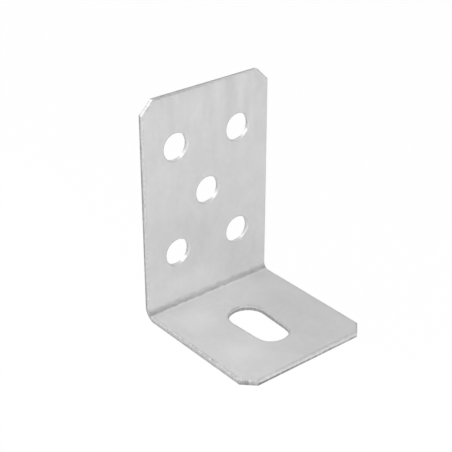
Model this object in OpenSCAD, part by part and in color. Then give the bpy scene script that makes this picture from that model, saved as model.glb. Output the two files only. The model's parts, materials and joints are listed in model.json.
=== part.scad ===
// Angle bracket: a strip of galvanised sheet steel, sheared, punched and folded once.
// The origin is the middle of its footprint. X runs across the strip, Y back to the
// upright leg and Z up. Shears and punches entered by the two faces inside the fold,
// which leaves those rims rolled over and the outer ones sharp.

/* [Strip] */
// Width of the strip, across both legs
strip_w = 40; // [32:0.5:80]
// Thickness of the sheet
sheet_t = 1.5; // [1:0.1:2.5]
// Radius inside the fold
fold_r = 1.7; // [0.6:0.1:4]
// Radius of the rolled rims
roll_r = 0.25; // [0.1:0.05:0.5]

/* [Upright leg] */
// Height of the upright leg, from the underside of the base
upright_h = 61.3; // [54:0.1:120]
// Length cut off each top corner, along both edges
upright_corner = 3.4; // [1:0.1:8]

/* [Base leg] */
// Depth of the base leg, from the back of the upright
base_d = 41.6; // [36:0.1:80]
// Length cut off each front corner, along both edges
base_corner = 3.3; // [1:0.1:8]

/* [Holes in the upright leg] */
// Diameter of the four corner holes
corner_hole_d = 7.5; // [4:0.1:9]
// Diameter of the middle hole
middle_hole_d = 7.5; // [4:0.1:14]
// Distance between the corner holes, across the strip
hole_pitch_x = 20; // [14:0.5:26]
// Distance between the corner holes, up the strip
hole_pitch_z = 30; // [20:0.5:40]
// Height of the middle hole above the underside of the base
hole_middle_z = 32; // [26:0.5:36]

/* [Slot in the base leg] */
// Width of the slot
slot_w = 10; // [5:0.1:16]
// Length of the slot, over its round ends
slot_l = 18.6; // [17:0.1:24]
// Distance from the back of the upright to the middle of the slot
slot_middle = 22.3; // [18:0.1:28]

/* [Hidden] */
$fn = 96;
// How far a cutter runs past the faces that it cuts
past = 1;
side_x = strip_w / 2;
back_y = base_d / 2;
// Outside of the fold, and the line round which it turns
fold_out_r = fold_r + sheet_t;
fold_y = back_y - fold_out_r;
fold_z = fold_out_r;
// Flat lengths of the legs, from the end of the fold
upright_flat = upright_h - fold_out_r;
base_flat = base_d - fold_out_r;

// Cutter's section for a rim at the origin, between a wall facing +X and a face facing +Y
module rim_section() {
    translate([-roll_r, -roll_r]) difference() {
        square(roll_r + past);
        circle(r = roll_r);
    }
}

// Straight rim along Y through the origin, its wall facing +X and its face +Z
module straight_rim(length) {
    rotate([90, 0, 0]) linear_extrude(length, center = true) rim_section();
}

// Half section of a punch that enters a face at Y = 0
module punch_section(radius) {
    translate([0, -sheet_t - past]) square([radius, sheet_t + 2 * past]);
    translate([radius, 0]) mirror([1, 0]) rim_section();
}

// Round punch through a flat leg
module round_punch(diameter) {
    rotate_extrude() punch_section(diameter / 2);
}

// Punch with round ends through a flat leg, its length along Y
module slot_punch(width, length) {
    run = length - width;
    for (y = [-run / 2, run / 2])
        translate([0, y, 0]) round_punch(width);
    rotate([90, 0, 0]) linear_extrude(run, center = true) {
        punch_section(width / 2);
        mirror([1, 0]) punch_section(width / 2);
    }
}

// Flat leg from the fold along +Y, with its inner face at Z = 0 and its free corners cut off
module flat_leg(length, corner) {
    middle_x = side_x - corner / 2;
    middle_y = length - corner / 2;
    // A point on each free edge, and the direction that the edge faces
    edges = [
        [side_x, 0, 0], [middle_x, middle_y, 45], [0, length, 90],
        [-middle_x, middle_y, 135], [-side_x, 0, 180]
    ];
    difference() {
        translate([0, 0, -sheet_t]) linear_extrude(sheet_t) polygon([
            [-side_x, 0], [side_x, 0], [side_x, length - corner],
            [side_x - corner, length], [corner - side_x, length],
            [-side_x, length - corner]
        ]);
        for (edge = edges)
            translate([edge[0], edge[1], 0]) rotate([0, 0, edge[2]])
                straight_rim(2 * (length + strip_w));
    }
}

// Quarter turn of the strip round the Z axis, from +X to +Y
module quarter_fold() {
    rotate_extrude(angle = 90) difference() {
        translate([fold_r, -side_x]) square([sheet_t, strip_w]);
        translate([fold_r, side_x]) rotate(90) rim_section();
        mirror([0, 1]) translate([fold_r, side_x]) rotate(90) rim_section();
    }
}

module upright_leg() {
    middle_y = hole_middle_z - fold_z;
    translate([0, back_y - sheet_t, fold_z]) rotate([90, 0, 0]) difference() {
        flat_leg(upright_flat, upright_corner);
        translate([0, middle_y, 0]) round_punch(middle_hole_d);
        for (x = [-hole_pitch_x / 2, hole_pitch_x / 2])
            for (y = [-hole_pitch_z / 2, hole_pitch_z / 2])
                translate([x, middle_y + y, 0]) round_punch(corner_hole_d);
    }
}

module base_leg() {
    translate([0, fold_y, sheet_t]) rotate([0, 0, 180]) difference() {
        flat_leg(base_flat, base_corner);
        translate([0, slot_middle - fold_out_r, 0]) slot_punch(slot_w, slot_l);
    }
}

module fold() {
    translate([0, fold_y, fold_z]) rotate([90, 0, 90]) rotate([0, 0, -90]) quarter_fold();
}

module bracket() {
    color("silver") {
        base_leg();
        fold();
        upright_leg();
    }
}

bracket();
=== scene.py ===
"""Angle bracket of galvanised sheet steel, on a white floor in soft studio light."""
import json
import math
from collections import namedtuple

import bpy
from mathutils import Matrix, Vector, geometry, noise


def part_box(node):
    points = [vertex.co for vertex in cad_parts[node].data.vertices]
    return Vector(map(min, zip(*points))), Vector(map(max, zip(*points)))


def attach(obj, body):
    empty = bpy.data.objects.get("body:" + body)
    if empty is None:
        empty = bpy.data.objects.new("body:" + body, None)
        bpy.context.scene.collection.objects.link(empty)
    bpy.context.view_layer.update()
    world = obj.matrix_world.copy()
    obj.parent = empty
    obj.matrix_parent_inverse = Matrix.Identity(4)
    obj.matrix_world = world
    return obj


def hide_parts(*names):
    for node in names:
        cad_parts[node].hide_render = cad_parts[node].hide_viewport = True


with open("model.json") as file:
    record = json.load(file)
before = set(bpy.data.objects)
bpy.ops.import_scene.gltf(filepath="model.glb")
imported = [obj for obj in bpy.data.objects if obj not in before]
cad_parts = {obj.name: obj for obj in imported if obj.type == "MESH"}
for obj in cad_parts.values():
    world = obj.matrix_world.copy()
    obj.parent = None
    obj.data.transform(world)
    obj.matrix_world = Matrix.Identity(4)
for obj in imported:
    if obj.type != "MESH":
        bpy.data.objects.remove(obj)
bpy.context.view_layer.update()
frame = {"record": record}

# Sizes in metres. What the frame states is read from it.
MM = 0.001
LOW, HIGH = (Vector(corner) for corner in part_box("bracket"))
MOUNTS = {mount["name"]: mount for mount in frame["record"]["mounts"]}
SIDE_X = HIGH.x
FRONT_Y, BACK_Y = LOW.y, HIGH.y
TOP_Z = HIGH.z
SHEET = 1.5 * MM
FOLD_R = 1.7 * MM
ROLL = 0.25 * MM
UPRIGHT_CORNER = 3.4 * MM
BASE_CORNER = 3.3 * MM

# The flat strip: across it runs X, and along it S, from the base's front edge
FOLD_OUT = FOLD_R + SHEET
FOLD_Y = BACK_Y - FOLD_OUT
FOLD_Z = FOLD_OUT
FOLD_S = FOLD_Y - FRONT_Y
FOLD_LENGTH = math.pi / 2 * (FOLD_R + SHEET / 2)
RISE_S = FOLD_S + FOLD_LENGTH
END_S = RISE_S + TOP_Z - FOLD_Z

# Mesh spacing, and how far its points keep from corners and from cut walls
ROW = 0.6 * MM
CORNER_ROW = 0.25 * MM
COLUMN = 1.0 * MM
FOLD_ROWS = 12
HOLE_STEPS = 96
ROLL_STEPS = 5
TORN_STEPS = 4
CORNER_CLEAR = 0.5 * MM
KEEP_OFF = 0.35 * MM
SAME_POINT = 0.01 * MM
FILL_TOLERANCE = 1e-9
SHARP_ANGLE = math.radians(38)

# Cut wall: how far its bands wave, how far the torn one is set in and how its outer edge breaks
SUPPORT = 0.08 * MM
BURNISH_WAVE = 0.16 * MM
RECESS = 0.07 * MM
RECESS_WAVE = 0.035 * MM
BREAK_DEPTH = 0.04 * MM
BREAK_INSET = 0.05 * MM
OUTER_INSET = RECESS + BREAK_INSET + SUPPORT

# How much farther the rolled rim and its wear reach over the face where they spread fully
ROLL_SPREAD = 0.25 * MM
RIM_SPREAD = 0.37 * MM

# How far the strip draws in at the outside of the fold's ends, and over what share of its width
WAIST = 0.12 * MM
WAIST_SHARE = 0.25

# How far each side of the slot lies out at the fold end and in at the front end
SLOT_SPREAD = 0.12 * MM
SLOT_DRAW = 0.33 * MM
SLOT_TIP = 4.2 * MM

# Each noise on the cut walls: its scale along the edge and its third coordinate
LONG_WAVE = (3 * MM, 1.5)
SHORT_WAVE = (0.9 * MM, 4.5)
TEAR_WAVES = [(0.7 * MM, 10.5 + 3 * k) for k in range(TORN_STEPS)]
STREAK = (0.38 * MM, 20.5)
# The mottle of the painted shade over the round holes' glint
MOTTLE = (0.6 * MM, 31.5)
BLOTCH = (2.6 * MM, 40.5)

# Patch of painted shade on the left front corner
SHADE_PATCH_X = 0.6 * MM - SIDE_X
SHADE_PATCH_S = BASE_CORNER - 0.6 * MM
SHADE_PATCH_REACH = 1.8 * MM

Hole = namedtuple("Hole", "x s radius length")

# A cut at one point of an edge. Tear is how rough its torn band is. Shade is a factor on the tone
# of its wall and roll: painted light or shade, and at the front corners also their streaks. The
# third field is painted shade on the rolled rim, at the face and at the wall. Burnish is the
# depth of the burnished band as a share of the sheet, and spread how far the rim spreads, from 0
# to 1.
Cut = namedtuple("Cut", "tear shade worn burnish spread")

# One ring of a cut wall, set out from the edge's line and down from the inner face. Its rim is
# the share of the painted rim shade that it takes.
Ring = namedtuple("Ring", "outset depth shear rim")


def ramp(value, start, reach):
    """How far a value is past a start, as a share of the reach, held between 0 and 1."""
    return min(1, max(0, (value - start) / reach))


def blend(a, b, share):
    return a + (b - a) * share


def wobble(x, s, scale, seed):
    """Smooth noise on the flat strip, from -1 to 1."""
    return noise.noise(Vector((x / scale, s / scale, seed)))


def place(x, s, depth):
    """Point of the folded strip, with depth counted from the inner face."""
    if s <= FOLD_S:
        return Vector((x, FRONT_Y + s, SHEET - depth))
    if s >= RISE_S:
        return Vector((x, BACK_Y - SHEET + depth, FOLD_Z + s - RISE_S))
    turn = (s - FOLD_S) / FOLD_LENGTH * math.pi / 2
    radius = FOLD_R + depth
    return Vector((x, FOLD_Y + radius * math.sin(turn), FOLD_Z - radius * math.cos(turn)))


def fold_waist(x, s, depth):
    """X of a point, drawn in toward the middle at the outside of the fold's two ends."""
    if not FOLD_S < s < RISE_S:
        return x
    bend = math.sin((s - FOLD_S) / FOLD_LENGTH * math.pi)
    near_end = ramp(abs(x) / SIDE_X, 1 - WAIST_SHARE, WAIST_SHARE)
    return x - math.copysign(WAIST * bend * near_end * depth / SHEET, x)


def row_places():
    """S of each row of mesh points along the strip, closer together in the fold."""
    def spread(start, end, count):
        return [start + (end - start) * k / count for k in range(count)]
    base = spread(0, FOLD_S, round(FOLD_S / ROW))
    fold = spread(FOLD_S, RISE_S, FOLD_ROWS)
    upright = spread(RISE_S, END_S, round((END_S - RISE_S) / ROW))
    return base + fold + upright + [END_S]


def side_run(rows, x, low, high):
    """Points up one long side of the strip, at the rows between its two corners."""
    inner = [s for s in rows if low + CORNER_CLEAR < s < high - CORNER_CLEAR]
    return [(x, s) for s in [low] + inner + [high]]


def straight_run(start, end, spacing=ROW):
    """Points along a straight edge, without the last one, and clear of its two corners."""
    start, end = Vector(start), Vector(end)
    length = (end - start).length
    count = max(1, round(length / spacing))
    clear = CORNER_CLEAR / length
    shares = [k / count for k in range(count) if k == 0 or clear < k / count < 1 - clear]
    return [tuple(start.lerp(end, share)) for share in shares]


def strip_outline(rows):
    """Outline of the flat strip, counter-clockwise, with its four corners cut off."""
    base_x = SIDE_X - BASE_CORNER
    top_x = SIDE_X - UPRIGHT_CORNER
    top_s = END_S - UPRIGHT_CORNER
    right = side_run(rows, SIDE_X, BASE_CORNER, top_s)
    left = side_run(rows, -SIDE_X, BASE_CORNER, top_s)[::-1]
    return (
        straight_run((-base_x, 0), (base_x, 0))
        + straight_run((base_x, 0), (SIDE_X, BASE_CORNER), CORNER_ROW)
        + right[:-1]
        + straight_run((SIDE_X, top_s), (top_x, END_S))
        + straight_run((top_x, END_S), (-top_x, END_S))
        + straight_run((-top_x, END_S), (-SIDE_X, top_s))
        + left[:-1]
        + straight_run((-SIDE_X, BASE_CORNER), (-base_x, 0), CORNER_ROW)
    )


def hole_list():
    """The five round holes and the slot, on the flat strip."""
    corner, middle, slot = (MOUNTS[name] for name in ("corner_holes", "middle_hole", "base_slot"))
    half_x = corner["dims"]["spacing_x_mm"] * MM / 2
    half_z = corner["dims"]["spacing_y_mm"] * MM / 2
    corner_r = corner["dims"]["hole_r_mm"] * MM
    corner_s = RISE_S - FOLD_Z + corner["pos_m"][2]
    middle_r = middle["dims"]["r_mm"] * MM
    middle_s = RISE_S - FOLD_Z + middle["pos_m"][2]
    slot_r = slot["dims"]["hole_r_mm"] * MM
    slot_length = slot["dims"]["slot_length_mm"] * MM
    slot_s = slot["pos_m"][1] - FRONT_Y
    holes = []
    for x in (-half_x, half_x):
        for z in (-half_z, half_z):
            holes.append(Hole(x, corner_s + z, corner_r, 2 * corner_r))
    holes.append(Hole(0, middle_s, middle_r, 2 * middle_r))
    holes.append(Hole(slot["pos_m"][0], slot_s, slot_r, slot_length))
    return holes


def is_slot(hole):
    return hole.length > 2 * hole.radius


def hole_outline(hole):
    """Hole outline, clockwise: round, or longer than it is wide with round ends along S."""
    half = hole.length / 2 - hole.radius
    count = HOLE_STEPS // 2
    points = []
    for side in (-1, 1):
        for k in range(count + 1):
            turn = math.pi * (1 + k / count)
            x = hole.x + side * hole.radius * math.cos(turn)
            s = hole.s + side * (half - hole.radius * math.sin(turn))
            points.append((x, s))
        if is_slot(hole):
            points += straight_run(points[-1], (x, hole.s - side * half))[1:]
    pairs = zip(points, points[-1:] + points[:-1])
    outline = [point for point, last in pairs if math.dist(point, last) > SAME_POINT]
    ends = zip(outline, outline[1:] + outline[:1])
    area = sum(a[0] * b[1] - b[0] * a[1] for a, b in ends)
    return outline[::-1] if area > 0 else outline


def draw_in(point, hole):
    """The slot narrows a little from its end at the fold to the start of its front end."""
    if not is_slot(hole):
        return point
    x, s = point
    front = hole.s - hole.length / 2
    wide = ramp(s, front + SLOT_TIP, hole.length / 2)
    fade = ramp(s, front + 0.4 * SLOT_TIP, 0.6 * SLOT_TIP)
    shift = fade * blend(-SLOT_DRAW, SLOT_SPREAD, wide)
    return (x + shift * (x - hole.x) / hole.radius, s)


def off_hole(x, s, hole):
    """How far a point of the flat strip lies outside a hole, negative inside it."""
    half = hole.length / 2 - hole.radius
    off = s - hole.s
    off -= max(-half, min(half, off))
    return math.hypot(x - hole.x, off) - hole.radius


def off_edge(x, s):
    """How far a point lies inside the strip's outline, negative outside it."""
    across = SIDE_X - abs(x)
    up, down = s, END_S - s
    root = math.sqrt(2)
    front_corner = (across + up - BASE_CORNER) / root
    top_corner = (across + down - UPRIGHT_CORNER) / root
    return min(across, up, down, front_corner, top_corner)


def face_grid(rows, holes):
    """Points inside the strip's outline and clear of its holes."""
    count = round(2 * SIDE_X / COLUMN)
    columns = [-SIDE_X + 2 * SIDE_X * k / count for k in range(1, count)]
    margin = ROLL + ROLL_SPREAD + SUPPORT + RIM_SPREAD + KEEP_OFF

    def clear(x, s):
        return off_edge(x, s) > margin and all(off_hole(x, s, hole) > margin for hole in holes)

    return [(x, s) for s in rows for x in columns if clear(x, s)]


def outward(loop):
    """Direction at each point of a loop, away from the steel, that keeps its walls parallel."""
    result = []
    for before, here, after in zip(loop[-1:] + loop[:-1], loop, loop[1:] + loop[:1]):
        a = (Vector(here) - Vector(before)).normalized()
        b = (Vector(after) - Vector(here)).normalized()
        normal_a, normal_b = Vector((a.y, -a.x)), Vector((b.y, -b.x))
        result.append((normal_a + normal_b) / (1 + normal_a.dot(normal_b)))
    return result


def top_cut(x):
    """Top edge, with the most painted shade on its wall and rim, and the shallowest burnish, at
    its left.
    """
    across = x / SIDE_X
    left = 1 - ramp(across, -0.7, 1)
    worn = 0.75 - 0.5 * across + 0.35 * left
    shade = blend(1, 0.92, left)
    return Cut(tear=1, shade=shade, worn=(worn, worn), burnish=blend(0.4, 0.3, left), spread=0)


# Clipped top corner, with painted shade on its wall and more painted shade on its rim
def top_corner_cut(worn):
    return Cut(tear=0.6, shade=0.92, worn=(1.5 * worn, 1.5 * worn), burnish=0.5, spread=0)


def front_cut(x):
    """Front edge, torn more at its left, with painted light on its wall and roll."""
    tear = 1.25 - 0.35 * x / SIDE_X
    return Cut(tear=tear, shade=1.12, worn=(0.75, 0.75), burnish=0.53, spread=1)


def front_corner_cut(x, s):
    """Clipped front corner, streaked, darkened all over by painted shade, and deepest in a patch
    of painted shade on the left one.
    """
    off = math.hypot(x - SHADE_PATCH_X, s - SHADE_PATCH_S) / SHADE_PATCH_REACH
    shade_patch = 0.32 * max(0, 1 - off * off)
    shade = 0.86 + 0.5 * wobble(x, s, *STREAK) - shade_patch
    return Cut(tear=0.5, shade=shade, worn=(0.2, 1.5), burnish=0.6, spread=1)


def side_cut(x, s, worn):
    """Long side, with painted shade on its wall and rim. Along the base, and into the fold, its
    rim is wide and its painted rim shade blotched.
    """
    base = 1 - ramp(s, FOLD_S - 1 * MM, 3 * MM)
    blotch = 1 + 1.1 * base * wobble(x, s, *BLOTCH)
    worn = (worn * blend(1, 0.8, base) * blotch, worn * blend(1, 1.7, base))
    shade = blend(0.93, 0.89, base)
    return Cut(tear=blend(1, 0.55, base), shade=shade, worn=worn, burnish=0.5, spread=base)


def edge_cut(x, s):
    """The cut on the strip's outline, with more painted shade on the rims along its left side."""
    worn = 1 if x < 0 else 0.4
    if s > END_S - UPRIGHT_CORNER:
        return top_cut(x) if abs(x) < SIDE_X - UPRIGHT_CORNER else top_corner_cut(worn)
    if s < BASE_CORNER:
        return front_cut(x) if abs(x) < SIDE_X - BASE_CORNER else front_corner_cut(x, s)
    return side_cut(x, s, worn)


def slot_cut(x, s, hole):
    """The slot's cut, less burnished at its right and at the left of its fold end. Painted shade
    darkens its wall, a little less at that left, and its rim, most at the middle of its fold end
    and least at its right.
    """
    across = (x - hole.x) / hole.radius
    far = ramp(s, hole.s + 3 * MM, 3 * MM)
    left = far * (1 - ramp(across, -0.4, 1))
    right = ramp(across, 0.2, 2 / 3)
    at_face = 0.9 + 0.3 * far - 0.5 * left - 0.4 * right
    at_wall = 1.7 + 0.3 * far - 0.2 * left - 0.4 * right
    shade = 0.9 + 0.07 * left
    burnish = 0.48 - 0.16 * left - 0.14 * right
    return Cut(tear=1.05, shade=shade, worn=(at_face, at_wall), burnish=burnish, spread=0.5)


def round_cut(x, s, hole):
    """A round hole's cut, torn on its right. Painted light lightens its wall toward the bottom,
    and at its lower right, where the lamps' glint falls, mottled painted light and shade, mostly
    shade, dims the wall and painted shade darkens the rim. Painted shade darkens its rim most at
    the left.
    """
    across = (x - hole.x) / hole.radius
    side = max(0, across)
    down = max(0, (hole.s - s) / hole.radius)
    glint_zone = (2 * side * down) ** 2
    mottle = 0.35 * wobble(x, s, *MOTTLE)
    shade = 0.99 + 0.05 * down + (mottle - 0.13) * glint_zone
    worn = max(0, 0.9 - 0.5 * across - 0.8 * down) + 1.2 * glint_zone
    tear = 0.15 + 0.55 * side ** 2
    return Cut(tear=tear, shade=shade, worn=(worn, worn), burnish=0.56, spread=0)


def hole_cut(x, s, hole):
    return slot_cut(x, s, hole) if is_slot(hole) else round_cut(x, s, hole)


def wall_profile(x, s, cut):
    """Rings of the cut wall at one point, from the inner face over its rolled, burnished and
    torn bands to the outer edge."""
    roll = ROLL + cut.spread * ROLL_SPREAD
    rings = [Ring(-roll - SUPPORT - cut.spread * RIM_SPREAD, 0, 0, 0)]
    for k in range(ROLL_STEPS + 1):
        share = k / ROLL_STEPS
        turn = share * math.pi / 2
        depth = ROLL - ROLL * math.cos(turn)
        rings.append(Ring(roll * math.sin(turn) - roll, depth, 0, blend(*cut.worn, share)))

    wave = wobble(x, s, *LONG_WAVE) + 0.5 * wobble(x, s, *SHORT_WAVE)
    band = cut.burnish * SHEET + BURNISH_WAVE * wave
    rings.append(Ring(0, (ROLL + band) / 2, 0, 0))
    rings.append(Ring(0, band, 0, 0))

    for k, tear_wave in enumerate(TEAR_WAVES):
        share = (k + 0.35) / TORN_STEPS
        rough = abs(RECESS_WAVE * wobble(x, s, *tear_wave))
        inset = RECESS * blend(0.55, 1, share) + rough
        rings.append(Ring(-inset, blend(band, SHEET, share), cut.tear, 0))
    rings.append(Ring(-RECESS, SHEET - BREAK_DEPTH, cut.tear, 0))
    rings.append(Ring(-RECESS - BREAK_INSET, SHEET, cut.tear, 0))
    return rings


class StripMesh:
    """Points and faces of the folded strip, with what its material reads at each point."""

    def __init__(self):
        self.points, self.faces, self.strip = [], [], []
        self.values = {"cut": [], "shear": [], "shade": [], "rim": []}

    def add(self, x, s, depth, cut=0, shear=0, shade=1, rim=0):
        self.points.append(place(fold_waist(x, s, depth), s, depth))
        self.strip.append((x, s, depth))
        for values, value in zip(self.values.values(), (cut, shear, shade, rim)):
            values.append(value)
        return len(self.points) - 1

    def wall(self, loop, hole=None):
        """Cut wall round one loop. Returns its end rings, on the inner and the outer face."""
        columns = []
        for (x, s), away in zip(loop, outward(loop)):
            cut = hole_cut(x, s, hole) if hole else edge_cut(x, s)
            column = []
            for ring in wall_profile(x, s, cut):
                ring_x, ring_s = x + away.x * ring.outset, s + away.y * ring.outset
                bare = 1 if ring.depth > ROLL else 0
                # The cut's painted light or shade, none at the face, grows to full over the roll
                shade = blend(1, cut.shade, min(1, ring.depth / ROLL))
                column.append(
                    self.add(ring_x, ring_s, ring.depth, bare, ring.shear, shade, ring.rim)
                )
            column.append(self.add(x - away.x * OUTER_INSET, s - away.y * OUTER_INSET, SHEET))
            columns.append(column)
        for a, b in zip(columns, columns[1:] + columns[:1]):
            for k in range(len(a) - 1):
                self.faces.append((a[k], a[k + 1], b[k + 1], b[k]))
        return [column[0] for column in columns], [column[-1] for column in columns]

    def face(self, loops, depth, grid):
        """One flat side of the strip, filled between its loops and over the grid points."""
        indices, edges, hole_of = [], [], {}
        for number, loop in enumerate(loops):
            start, count = len(indices), len(loop)
            indices += loop
            edges += [(start + k, start + (k + 1) % count) for k in range(count)]
            if number > 0:
                hole_of.update((k, number) for k in loop)
        indices += [self.add(x, s, depth) for x, s in grid]
        flat = [Vector(self.strip[k][:2]) for k in indices]
        keep_inside = 1
        filled = geometry.delaunay_2d_cdt(flat, edges, [], keep_inside, FILL_TOLERANCE)
        faces, sources = filled[2], filled[3]
        to_index = [indices[source[0]] for source in sources]
        for face in faces:
            corners = [to_index[k] for k in face]
            in_hole = hole_of.get(corners[0])
            if in_hole is None or any(hole_of.get(k) != in_hole for k in corners):
                self.faces.append(tuple(corners if depth == 0 else corners[::-1]))

    def to_mesh(self, name):
        mesh = bpy.data.meshes.new(name)
        mesh.from_pydata([tuple(point) for point in self.points], [], self.faces)
        strip = mesh.attributes.new("strip", "FLOAT_VECTOR", "POINT")
        strip.data.foreach_set("vector", [value for point in self.strip for value in point])
        for layer_name, values in self.values.items():
            layer = mesh.attributes.new(layer_name, "FLOAT", "POINT")
            layer.data.foreach_set("value", values)
        mesh.validate()
        mesh.update()
        mesh.shade_smooth()
        mesh.set_sharp_from_angle(angle=SHARP_ANGLE)
        return mesh


def build_strip():
    """The bracket's own mesh, in place of the plain solid."""
    rows = row_places()
    holes = hole_list()
    strip = StripMesh()
    ends = [strip.wall(strip_outline(rows))]
    for hole in holes:
        loop = [draw_in(point, hole) for point in hole_outline(hole)]
        ends.append(strip.wall(loop, hole))
    grid = face_grid(rows, holes)
    strip.face([inner for inner, outer in ends], 0, grid)
    strip.face([outer for inner, outer in ends], SHEET, grid)
    piece = bpy.data.objects.new("bracket_sheet", strip.to_mesh("folded_strip"))
    bpy.context.scene.collection.objects.link(piece)
    return piece


class Nodes:
    """Short calls for building a node tree."""

    def __init__(self, tree):
        self.tree = tree
        tree.nodes.clear()

    def add(self, kind, **values):
        node = self.tree.nodes.new(kind)
        for name, value in values.items():
            setattr(node, name, value)
        return node

    def link(self, source, target):
        self.tree.links.new(source, target)

    def put(self, socket, value):
        """Links a socket, or sets its plain value."""
        if isinstance(value, bpy.types.NodeSocket):
            self.link(value, socket)
        else:
            socket.default_value = value

    def math(self, operation, a, b):
        node = self.add("ShaderNodeMath", operation=operation)
        self.put(node.inputs[0], a)
        self.put(node.inputs[1], b)
        return node.outputs[0]

    def total(self, first, *rest):
        for value in rest:
            first = self.math("ADD", first, value)
        return first

    def mix(self, share, a, b):
        node = self.add("ShaderNodeMix", data_type="FLOAT", clamp_factor=False)
        self.put(node.inputs["Factor"], share)
        self.put(node.inputs["A"], a)
        self.put(node.inputs["B"], b)
        return node.outputs["Result"]

    def span(self, value, low, high, to_low=0.0, to_high=1.0, kind="SMOOTHSTEP"):
        """A value mapped from one range to another, and held within it."""
        node = self.add("ShaderNodeMapRange", interpolation_type=kind)
        self.put(node.inputs["Value"], value)
        self.put(node.inputs["From Min"], low)
        self.put(node.inputs["From Max"], high)
        self.put(node.inputs["To Min"], to_low)
        self.put(node.inputs["To Max"], to_high)
        return node.outputs["Result"]

    def swing(self, value, amount, low=0.3, high=0.7):
        """Noise turned into a change from minus to plus an amount."""
        return self.span(value, low, high, -amount, amount)

    def scaled(self, vector, scale):
        node = self.add("ShaderNodeVectorMath", operation="MULTIPLY")
        self.link(vector, node.inputs[0])
        node.inputs[1].default_value = scale
        return node.outputs[0]

    def noise(self, strip, across, along, through=None, detail=2):
        """Noise on the strip, from the sizes of its features in millimetres."""
        sizes = (across, along, through or across)
        node = self.add("ShaderNodeTexNoise")
        self.link(self.scaled(strip, [1 / (MM * size) for size in sizes]), node.inputs["Vector"])
        node.inputs["Scale"].default_value = 1
        node.inputs["Detail"].default_value = detail
        return node.outputs["Fac"]

    def spot(self, strip, x, s, reach_x, reach_s, change):
        """Soft patch on the flat strip, in millimetres, that fades out at its reach."""
        offset = self.add("ShaderNodeVectorMath", operation="SUBTRACT")
        self.link(strip, offset.inputs[0])
        offset.inputs[1].default_value = (x * MM, s * MM, 0)
        scale = (1 / (reach_x * MM), 1 / (reach_s * MM), 0)
        length = self.add("ShaderNodeVectorMath", operation="LENGTH")
        self.link(self.scaled(offset.outputs[0], scale), length.inputs[0])
        return self.span(length.outputs["Value"], 0.1, 1, change, 0)

    def attribute(self, name, output="Fac"):
        return self.add("ShaderNodeAttribute", attribute_name=name).outputs[output]


# Tones of the coat and of the bare steel, as linear grey. The fold's tone is painted shade.
ZINC = 0.60
FOLD_SHADE_TONE = (0.36, 0.42)
TORN_TONE = (0.30, 0.46)
BURNISHED_TONE = (0.54, 0.64)

# Changes of tone. The rise, from the fold to the top, is painted light low on the upright that
# turns to painted shade at its top, and a rim's painted shade takes away a share of the tone.
STREAK_CHANGE = (-0.008, 0.024)
CLOUD_CHANGE = 0.014
MOTTLE_CHANGE = 0.008
GRIT_CHANGE = 0.008
RISE_PAINTED_LIGHT = (0.02, -0.018)
CREASE_SHADE_CHANGE = -0.075
RIM_SHADE_SHARE = (0.10, 0.24)

# S where each of these is nothing and where it is full. The streaks grow from their least share.
STREAKS_GROW = (RISE_S + 34 * MM, END_S - 9 * MM)
LEAST_STREAKS = 0.2
# The band and the crease below are where the fold's painted shade falls
BAND_START = (FOLD_S + 0.75 * MM, FOLD_S + 1.8 * MM)
BAND_END = (RISE_S + 0.35 * MM, RISE_S - 1.5 * MM)
CREASE_START = (FOLD_S + 1.1 * MM, FOLD_S + 1.6 * MM)
CREASE_END = (FOLD_S + 2.5 * MM, FOLD_S + 1.8 * MM)

# How far the lower and the upper side of the fold's band waver
LOWER_WAVER = 0.2 * MM
UPPER_WAVER = 0.27 * MM

# Roughness, metallic and bump of the coat and the steel
ZINC_ROUGH = (0.46, 0.52)
BURNISHED_ROUGH = 0.36
TORN_ROUGH = 0.55
ZINC_METALLIC = 0.12
STEEL_METALLIC = 0.9
BUMP_STRENGTH = 0.12
BUMP_HEIGHT = 0.05 * MM
GRAIN_HEIGHT = 0.35
STREAK_HEIGHT = 0.25

# Lighter and darker patches: x, s and reach along both in mm, and change of tone
SOFT_SPOTS = (
    (-11, 31, 9, 9, 0.064),
    (-19.5, 31, 5, 13, -0.024),
    (9, 36, 9, 6, 0.024),
    (-10.5, 12.5, 10, 9, 0.045),
    (9, 18.5, 12, 15, -0.031),
    (2, 34.5, 17, 12, 0.052),
    (3, 4, 20, 13, -0.030),
    (13, 49, 12, 11, -0.026),
    (-5, 46, 15, 5, 0.032),
    (-8, 60, 22, 14, -0.034),
    (20, 86, 16, 26, 0.020),
    # Painted shade at the left end of the fold
    (-20, 39.9, 8, 2, -0.042),
)

# The clearest of the rolled streaks, in the same form
CLEAR_STREAKS = (
    (-9.6, 97, 1.8, 9, 0.012),
    (-3, 97, 2.6, 11, 0.026),
    (3, 95, 2.6, 15, 0.026),
    (6.9, 93, 2.4, 13, -0.012),
    (10.8, 98, 2, 10, 0.020),
)


def zinc_tone(n, strip, along, streaks, grain):
    """Coat of the faces: rolled streaks near the top, clouds, mottle and grit, with painted light
    low on the upright that turns to painted shade at its top.
    """
    streak_share = n.span(along, *STREAKS_GROW, LEAST_STREAKS, 1)
    streak = n.math("MULTIPLY", n.span(streaks, 0.38, 0.64, *STREAK_CHANGE), streak_share)
    clouds = n.swing(n.noise(strip, 5, 7, detail=3), CLOUD_CHANGE)
    # Painted light low on the upright, turning to painted shade at its top
    painted_rise = n.span(along, RISE_S, END_S, *RISE_PAINTED_LIGHT, kind="LINEAR")
    grit = n.swing(grain, GRIT_CHANGE, low=0.2, high=0.8)
    mottle = n.swing(n.noise(strip, 1.5, 1.8), MOTTLE_CHANGE)
    return n.total(streak, clouds, painted_rise, grit, mottle, ZINC)


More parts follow.
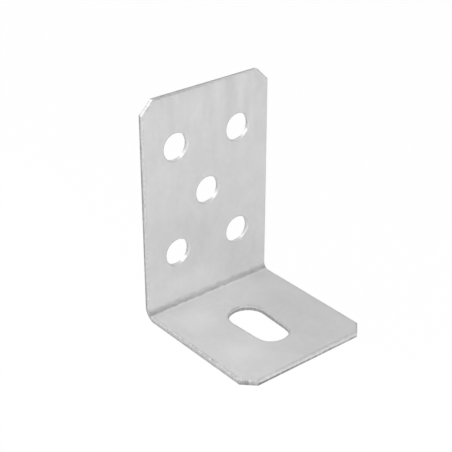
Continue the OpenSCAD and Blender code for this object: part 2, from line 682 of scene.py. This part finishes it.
def fold_painted_shade(n, strip, along, zinc):
    """Painted shade: a darker band inside the fold, with a darker wavering line along its lower
    side.
    """
    lower = n.math("ADD", along, n.swing(n.noise(strip, 2.2, 4), LOWER_WAVER))
    upper = n.math("ADD", along, n.swing(n.noise(strip, 2.4, 3), UPPER_WAVER))
    band = n.math("MULTIPLY", n.span(lower, *BAND_START), n.span(upper, *BAND_END))
    zinc = n.mix(band, zinc, n.span(n.noise(strip, 1.8, 1.1), 0.3, 0.7, *FOLD_SHADE_TONE))
    crease = n.math("MULTIPLY", n.span(lower, *CREASE_START), n.span(lower, *CREASE_END))
    change = n.span(n.noise(strip, 2.6, 2), 0.36, 0.6, 0, CREASE_SHADE_CHANGE)
    return n.math("ADD", zinc, n.math("MULTIPLY", crease, change))


def steel_tone(n, strip, shear):
    """Bare steel of a cut wall, lined through the sheet's thickness."""
    lines = n.noise(strip, 0.35, 0.35, 2.5)
    torn = n.span(lines, 0.25, 0.75, *TORN_TONE)
    burnished = n.span(lines, 0.25, 0.75, *BURNISHED_TONE)
    return n.mix(shear, burnished, torn)


def rim_painted_shade(n, strip, zinc):
    """The coat, darkened by painted shade along the rolled rims, unevenly along their length."""
    loss = n.span(n.noise(strip, 1.1, 1.1), 0.38, 0.56, *RIM_SHADE_SHARE)
    kept = n.math("SUBTRACT", 1, n.math("MULTIPLY", n.attribute("rim"), loss))
    return n.math("MULTIPLY", zinc, kept)


def grain_bump(n, grain, streaks):
    """Surface normal from the coat's grain and its rolled streaks."""
    bump = n.add("ShaderNodeBump")
    bump.inputs["Strength"].default_value = BUMP_STRENGTH
    bump.inputs["Distance"].default_value = BUMP_HEIGHT
    grain_part = n.math("MULTIPLY", grain, GRAIN_HEIGHT)
    streak_part = n.math("MULTIPLY", streaks, STREAK_HEIGHT)
    n.link(n.math("ADD", grain_part, streak_part), bump.inputs["Height"])
    return bump.outputs[0]


def zinc_material():
    """Dull zinc coating with soft rolling streaks, and darker steel where the sheet was cut, with
    painted shade in the fold and along the rims and painted light and shade on the cut walls.
    """
    material = bpy.data.materials.new("zinc_coated_steel")
    material.use_nodes = True
    n = Nodes(material.node_tree)
    strip = n.attribute("strip", "Vector")
    cut = n.attribute("cut")
    shear = n.attribute("shear")
    split = n.add("ShaderNodeSeparateXYZ")
    n.link(strip, split.inputs[0])
    along = split.outputs["Y"]
    streaks = n.noise(strip, 3.1, 24)
    grain = n.noise(strip, 0.22, 0.5, detail=3)

    zinc = zinc_tone(n, strip, along, streaks, grain)
    zinc = fold_painted_shade(n, strip, along, zinc)
    zinc = n.total(zinc, *[n.spot(strip, *spot) for spot in SOFT_SPOTS + CLEAR_STREAKS])
    zinc = rim_painted_shade(n, strip, zinc)
    tone = n.mix(cut, zinc, steel_tone(n, strip, shear))
    # Painted light and shade of the cut walls and their rolls, with the front corners' streaks
    tone = n.math("MULTIPLY", tone, n.attribute("shade"))
    colour = n.add("ShaderNodeCombineColor")
    for socket in colour.inputs:
        n.link(tone, socket)
    zinc_rough = n.span(streaks, 0.3, 0.7, *ZINC_ROUGH)
    steel_rough = n.mix(shear, BURNISHED_ROUGH, TORN_ROUGH)

    shader = n.add("ShaderNodeBsdfPrincipled")
    n.link(n.mix(cut, ZINC_METALLIC, STEEL_METALLIC), shader.inputs["Metallic"])
    n.link(colour.outputs[0], shader.inputs["Base Color"])
    n.link(n.mix(cut, zinc_rough, steel_rough), shader.inputs["Roughness"])
    n.link(grain_bump(n, grain, streaks), shader.inputs["Normal"])
    output = n.add("ShaderNodeOutputMaterial")
    n.link(shader.outputs[0], output.inputs["Surface"])
    return material


# Floor and world. The floor lies just under the bracket.
FLOOR_HALF = 3.0
FLOOR_DROP = 0.02 * MM
FLOOR_TONE = 0.95
FLOOR_GLOW = 0.98
WORLD_LEVEL = 0.16


def seen_directly(n):
    """1 for rays that show the background itself: camera, glossy and transmission rays."""
    path = n.add("ShaderNodeLightPath")
    most = n.math("MAXIMUM", path.outputs["Is Camera Ray"], path.outputs["Is Glossy Ray"])
    return n.math("MAXIMUM", most, path.outputs["Is Transmission Ray"])


def floor_material():
    """White floor that keeps a faint shadow."""
    material = bpy.data.materials.new("white_floor")
    material.use_nodes = True
    n = Nodes(material.node_tree)
    diffuse = n.add("ShaderNodeBsdfDiffuse")
    diffuse.inputs["Color"].default_value = (FLOOR_TONE, FLOOR_TONE, FLOOR_TONE, 1)
    glow = n.add("ShaderNodeEmission")
    mix = n.add("ShaderNodeMixShader")
    n.link(n.math("MULTIPLY", seen_directly(n), FLOOR_GLOW), mix.inputs[0])
    n.link(diffuse.outputs[0], mix.inputs[1])
    n.link(glow.outputs[0], mix.inputs[2])
    output = n.add("ShaderNodeOutputMaterial")
    n.link(mix.outputs[0], output.inputs["Surface"])
    return material


def build_floor():
    half = FLOOR_HALF
    mesh = bpy.data.meshes.new("floor")
    corners = [(-half, -half, 0), (half, -half, 0), (half, half, 0), (-half, half, 0)]
    mesh.from_pydata(corners, [], [(0, 1, 2, 3)])
    floor = bpy.data.objects.new("floor", mesh)
    floor.location.z = LOW.z - FLOOR_DROP
    mesh.materials.append(floor_material())
    bpy.context.scene.collection.objects.link(floor)


def build_world():
    """White to every ray that shows it, and a plain soft level to the rest."""
    world = bpy.data.worlds.new("studio")
    bpy.context.scene.world = world
    world.use_nodes = True
    n = Nodes(world.node_tree)
    back = n.add("ShaderNodeBackground")
    back.inputs["Color"].default_value = (1, 1, 1, 1)
    n.link(n.mix(seen_directly(n), WORLD_LEVEL, 1), back.inputs["Strength"])
    output = n.add("ShaderNodeOutputWorld")
    n.link(back.outputs[0], output.inputs["Surface"])


def add_lamp(name, toward, distance, size, power):
    """Square soft lamp in a direction from the bracket, facing it."""
    lamp = bpy.data.lights.new(name, "AREA")
    lamp.size = size
    lamp.energy = power
    lamp_object = bpy.data.objects.new(name, lamp)
    middle = (LOW + HIGH) / 2
    way = Vector(toward).normalized()
    lamp_object.location = middle + way * distance
    lamp_object.rotation_euler = way.to_track_quat("Z", "Y").to_euler()
    bpy.context.scene.collection.objects.link(lamp_object)


def build_lamps():
    """A broad lamp in front, a small one over the top left corner and one behind, at the left."""
    add_lamp("key_front", (-0.6, -0.75, 0.42), distance=0.9, size=0.7, power=6.65)
    add_lamp("top_left", (-0.6, -0.1, 0.8), distance=0.35, size=0.25, power=0.555)
    add_lamp("edge_back_left", (-0.475, 0.681, 0.557), distance=0.6, size=0.55, power=1.5)


# Camera, worked out from the photograph's straight edges
CAMERA_AT = Vector((-0.16931, -0.19516, 0.16888))
CAMERA_FORWARD = Vector((0.556988, 0.681265, -0.475019))
CAMERA_UP = Vector((0.300588, 0.367817, 0.879976))
FOCAL_PIXELS = 1177.965
FRAME_PIXELS = 452
SENSOR_MM = 36.0
CLIP_START = 10 * MM


def build_camera():
    data = bpy.data.cameras.new("camera")
    data.sensor_fit = "HORIZONTAL"
    data.sensor_width = SENSOR_MM
    data.lens = FOCAL_PIXELS / FRAME_PIXELS * SENSOR_MM
    data.clip_start = CLIP_START
    camera = bpy.data.objects.new("camera", data)
    back = -CAMERA_FORWARD.normalized()
    right = CAMERA_UP.cross(back).normalized()
    up = back.cross(right)
    turn = Matrix((right, up, back)).transposed()
    camera.matrix_world = Matrix.Translation(CAMERA_AT) @ turn.to_4x4()
    bpy.context.scene.collection.objects.link(camera)
    bpy.context.scene.camera = camera


def main():
    build_camera()
    build_world()
    build_lamps()
    build_floor()
    piece = build_strip()
    piece.data.materials.append(zinc_material())
    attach(piece, "root")
    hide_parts("bracket")
    bpy.context.scene.view_settings.view_transform = "Standard"


main()
